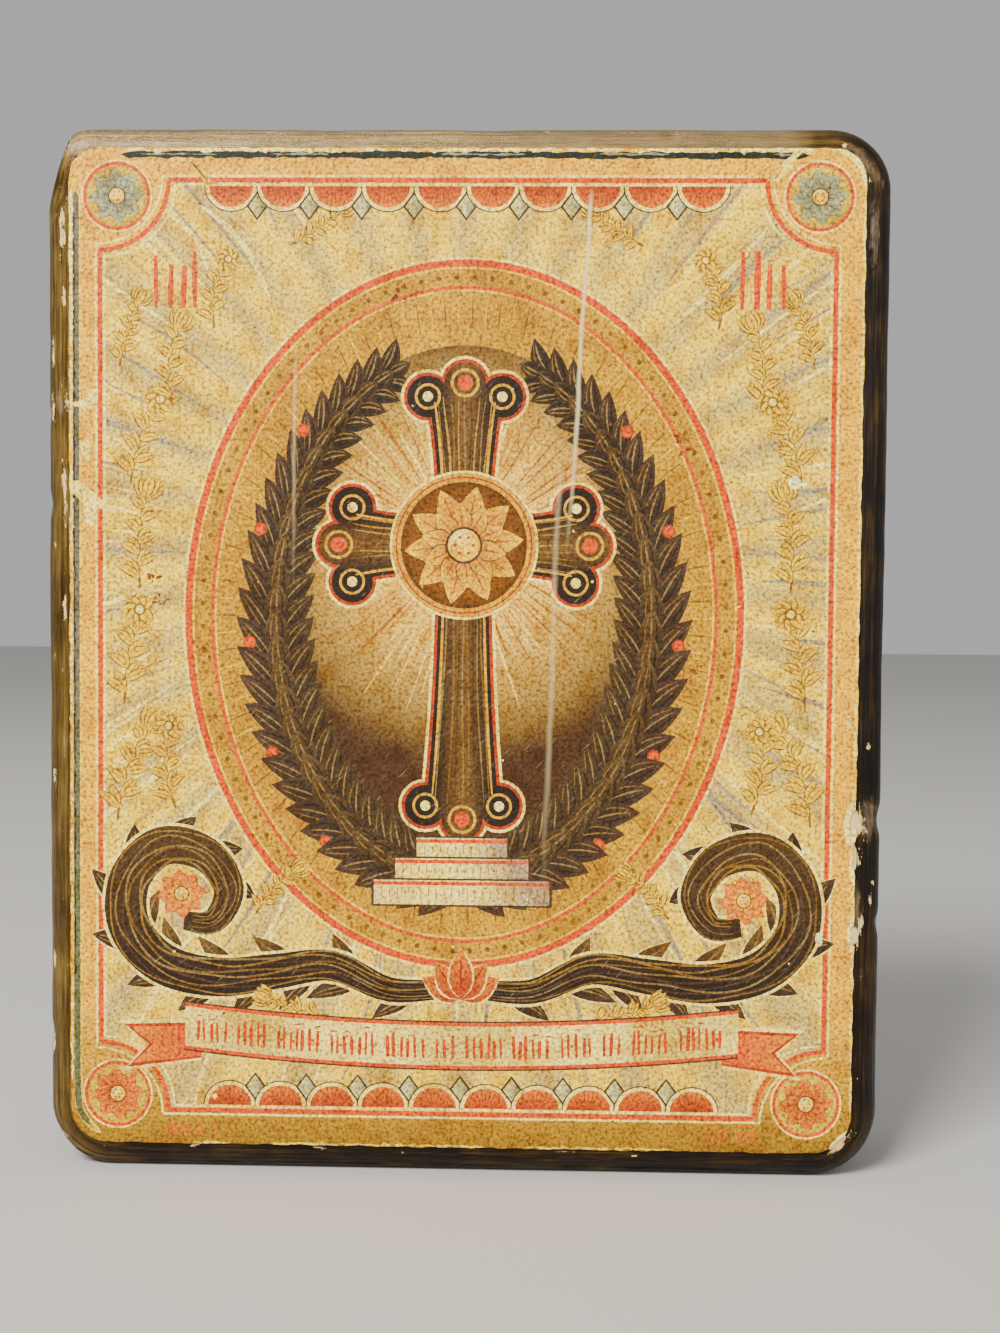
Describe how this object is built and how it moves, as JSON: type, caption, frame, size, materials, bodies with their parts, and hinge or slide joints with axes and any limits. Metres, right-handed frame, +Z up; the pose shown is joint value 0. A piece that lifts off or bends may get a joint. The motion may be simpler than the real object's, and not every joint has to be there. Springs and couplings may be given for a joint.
{
  "type": "icon panel",
  "caption": "Small devotional icon panel: a printed and varnished paper picture glued to a rounded wooden board with worn, bronze-painted edges.",
  "frame": {"origin": "middle of the whole panel, seen from above, on the surface it stands on", "axes": "+Z up the panel, +X to its right seen from the front, the picture faces -Y"},
  "size_m": [0.13, 0.0252, 0.162],
  "materials": {
    "painted_wood": "softwood board painted dull bronze on its edges, with varnish drips, scrapes and pale chips; bare stained wood behind",
    "varnished_print": "paper print in ochre, cream, gold, coral and dark brown under yellowed satin varnish"
  },
  "bodies": {
    "root": {"wooden_board": "painted_wood", "printed_sheet": "varnished_print"}
  },
  "joints": []
}
